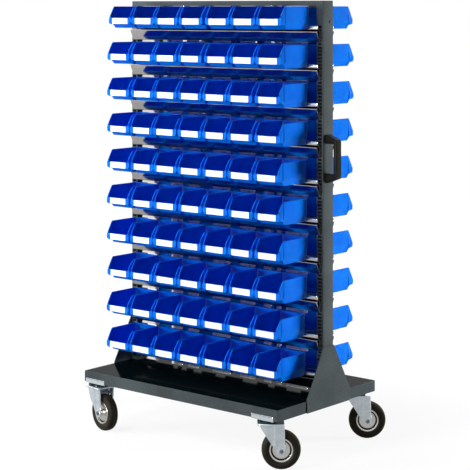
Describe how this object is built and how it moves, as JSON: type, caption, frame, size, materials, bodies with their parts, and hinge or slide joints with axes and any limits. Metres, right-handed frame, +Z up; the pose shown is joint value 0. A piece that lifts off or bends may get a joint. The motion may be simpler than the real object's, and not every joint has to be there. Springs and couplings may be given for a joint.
{
  "type": "mobile bin cart",
  "caption": "Two-sided mobile rack on swivel casters, with tiers of open-fronted blue storage bins hung on rails between two uprights over a steel deck",
  "frame": {"origin": "on the floor, below the middle of the bounding box", "axes": "+Z up, +X along the deck towards the end with the handle, -Y the front of the rack"},
  "size_m": [0.9098, 0.5924, 1.4825],
  "materials": {
    "anthracite": "fine-textured powder coat",
    "zinc": "bright zinc plating",
    "bin": "moulded, slightly glossy",
    "handle": "moulded, satin",
    "tyre": "moulded rubber"
  },
  "bodies": {
    "rack": {"base_deck": "anthracite", "left_upright": "anthracite", "right_upright": "anthracite", "top_beam": "anthracite", "left_gusset": "anthracite", "right_gusset": "anthracite", "bow_handle": "handle", "front_rail_1": "zinc", "front_rail_2": "zinc", "front_rail_3": "zinc", "front_rail_4": "zinc", "front_rail_5": "zinc", "front_rail_6": "zinc", "front_rail_7": "zinc", "front_rail_8": "zinc", "front_rail_9": "zinc", "front_rail_10": "zinc", "rear_rail_1": "zinc", "rear_rail_2": "zinc", "rear_rail_3": "zinc", "rear_rail_4": "zinc", "rear_rail_5": "zinc", "rear_rail_6": "zinc", "rear_rail_7": "zinc", "rear_rail_8": "zinc", "rear_rail_9": "zinc", "rear_rail_10": "zinc", "front_bins_1": "bin", "front_bins_2": "bin", "front_bins_3": "bin", "front_bins_4": "bin", "front_bins_5": "bin", "front_bins_6": "bin", "front_bins_7": "bin", "front_bins_8": "bin", "front_bins_9": "bin", "front_bins_10": "bin", "rear_bins_1": "bin", "rear_bins_2": "bin", "rear_bins_3": "bin", "rear_bins_4": "bin", "rear_bins_5": "bin", "rear_bins_6": "bin", "rear_bins_7": "bin", "rear_bins_8": "bin", "rear_bins_9": "bin", "rear_bins_10": "bin", "front_right_caster_plate": "zinc", "front_left_caster_plate": "zinc", "rear_right_caster_plate": "zinc", "rear_left_caster_plate": "zinc"},
    "front_right_swivel": {"front_right_fork": "zinc"},
    "front_right_rolling": {"front_right_wheel": "tyre"},
    "front_left_swivel": {"front_left_fork": "zinc"},
    "front_left_rolling": {"front_left_wheel": "tyre"},
    "rear_right_swivel": {"rear_right_fork": "zinc"},
    "rear_right_rolling": {"rear_right_wheel": "tyre"},
    "rear_left_swivel": {"rear_left_fork": "zinc"},
    "rear_left_rolling": {"rear_left_wheel": "tyre"},
    "loose_bin": {"lift_off_bin": "bin"}
  },
  "joints": [
    {"name": "front_right_swivel_joint", "type": "hinge", "parent": "rack", "child": "front_right_swivel", "pos_m": [0.34939, -0.24885, 0.15], "axis": [0, 0, 1], "continuous": true},
    {"name": "front_right_wheel_joint", "type": "hinge", "parent": "front_right_swivel", "child": "front_right_rolling", "pos_m": [0.38003, -0.22314, 0.0625], "axis": [-0.6428, 0.766, 0], "continuous": true},
    {"name": "front_left_swivel_joint", "type": "hinge", "parent": "rack", "child": "front_left_swivel", "pos_m": [-0.40761, -0.24885, 0.15], "axis": [0, 0, 1], "continuous": true},
    {"name": "front_left_wheel_joint", "type": "hinge", "parent": "front_left_swivel", "child": "front_left_rolling", "pos_m": [-0.36848, -0.25717, 0.0625], "axis": [0.2079, 0.9781, 0], "continuous": true},
    {"name": "rear_right_swivel_joint", "type": "hinge", "parent": "rack", "child": "rear_right_swivel", "pos_m": [0.34939, 0.22115, 0.15], "axis": [0, 0, 1], "continuous": true},
    {"name": "rear_right_wheel_joint", "type": "hinge", "parent": "rear_right_swivel", "child": "rear_right_rolling", "pos_m": [0.38003, 0.24686, 0.0625], "axis": [-0.6428, 0.766, 0], "continuous": true},
    {"name": "rear_left_swivel_joint", "type": "hinge", "parent": "rack", "child": "rear_left_swivel", "pos_m": [-0.40761, 0.22115, 0.15], "axis": [0, 0, 1], "continuous": true},
    {"name": "rear_left_wheel_joint", "type": "hinge", "parent": "rear_left_swivel", "child": "rear_left_rolling", "pos_m": [-0.37697, 0.24686, 0.0625], "axis": [-0.6428, 0.766, 0], "continuous": true},
    {"name": "bin_lift", "type": "slide", "parent": "rack", "child": "loose_bin", "axis": [0, 0, 1], "range_m": [0, 0.02]}
  ]
}
